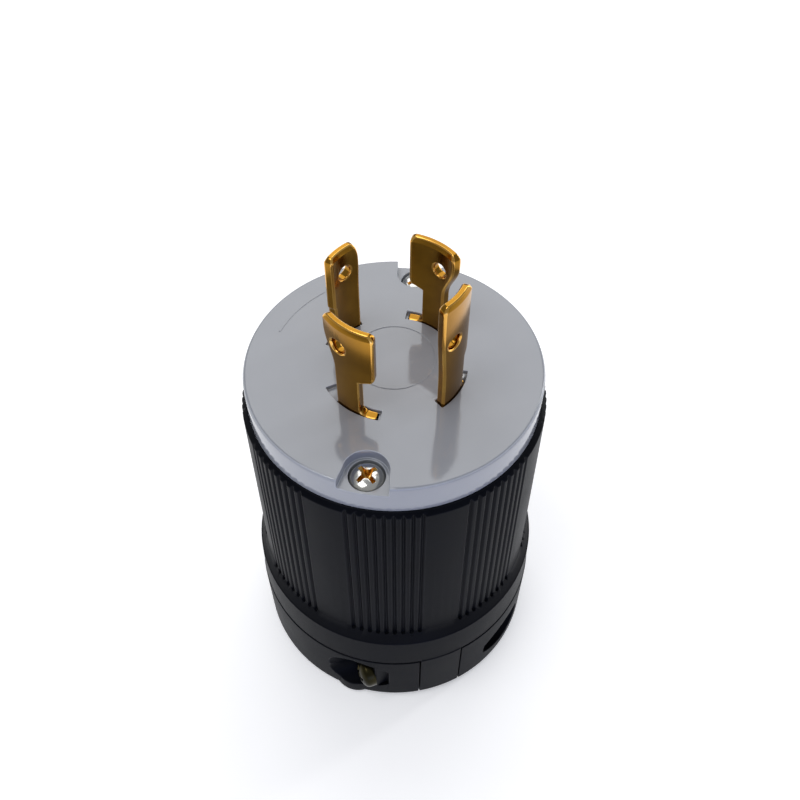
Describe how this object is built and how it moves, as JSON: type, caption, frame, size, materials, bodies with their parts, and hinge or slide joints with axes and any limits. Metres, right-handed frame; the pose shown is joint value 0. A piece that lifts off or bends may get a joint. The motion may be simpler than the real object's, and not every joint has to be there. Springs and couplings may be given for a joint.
{
  "type": "locking power plug",
  "caption": "Round black locking power plug with a light grey face, hooked curved brass blades in a ring, a ribbed barrel and a screw-tightened split cord clamp.",
  "frame": {"origin": "centre of the flat cord end, on the plug's axis", "axes": "+Z along the axis from the cord end to the blades; the shell's two guide posts lie on -Y and +Y; the cord clamp halves slide along X"},
  "size_m": [0.0574, 0.0574, 0.0977],
  "materials": {
    "face_nylon": "light grey moulded nylon, semi-gloss, fine moulded texture",
    "shell_nylon": "black moulded nylon, satin",
    "clamp_nylon": "black moulded nylon, satin",
    "blade_brass": "stamped brass sheet, rolled grain, bright coined edges",
    "screw_zinc": "bright zinc-plated steel",
    "clamp_plate_steel": "plated steel, stamped",
    "screw_brass": "turned brass",
    "screw_green": "green-dyed plated steel",
    "insert_brass": "turned brass, knurled",
    "block_plastic": "dark thermoset, matt",
    "seal_rubber": "black synthetic rubber, matt"
  },
  "bodies": {
    "plug_body": {"front_face": "face_nylon", "line_blade_x": "blade_brass", "line_blade_y": "blade_brass", "neutral_blade": "blade_brass", "ground_blade": "blade_brass", "terminal_block": "block_plastic", "wire_clamp_x": "clamp_plate_steel", "wire_clamp_y": "clamp_plate_steel", "wire_clamp_n": "clamp_plate_steel", "wire_clamp_g": "clamp_plate_steel", "terminal_screw_x": "screw_brass", "terminal_screw_y": "screw_brass", "terminal_screw_n": "screw_zinc", "terminal_screw_g": "screw_green", "outer_shell": "shell_nylon", "shell_inserts": "insert_brass", "assembly_screw_a": "screw_zinc", "assembly_screw_b": "screw_zinc", "cord_seal": "seal_rubber"},
    "clamp_left": {"cord_clamp_left": "clamp_nylon", "clamp_screw_front": "screw_zinc", "clamp_nut_back": "screw_zinc"},
    "clamp_right": {"cord_clamp_right": "clamp_nylon", "clamp_screw_back": "screw_zinc", "clamp_nut_front": "screw_zinc"}
  },
  "joints": [
    {"name": "clamp_left_slide", "type": "slide", "parent": "plug_body", "child": "clamp_left", "axis": [-1, 0, 0], "range_m": [0, 0.0015]},
    {"name": "clamp_right_slide", "type": "slide", "parent": "plug_body", "child": "clamp_right", "axis": [1, 0, 0], "range_m": [0, 0.0015]}
  ]
}
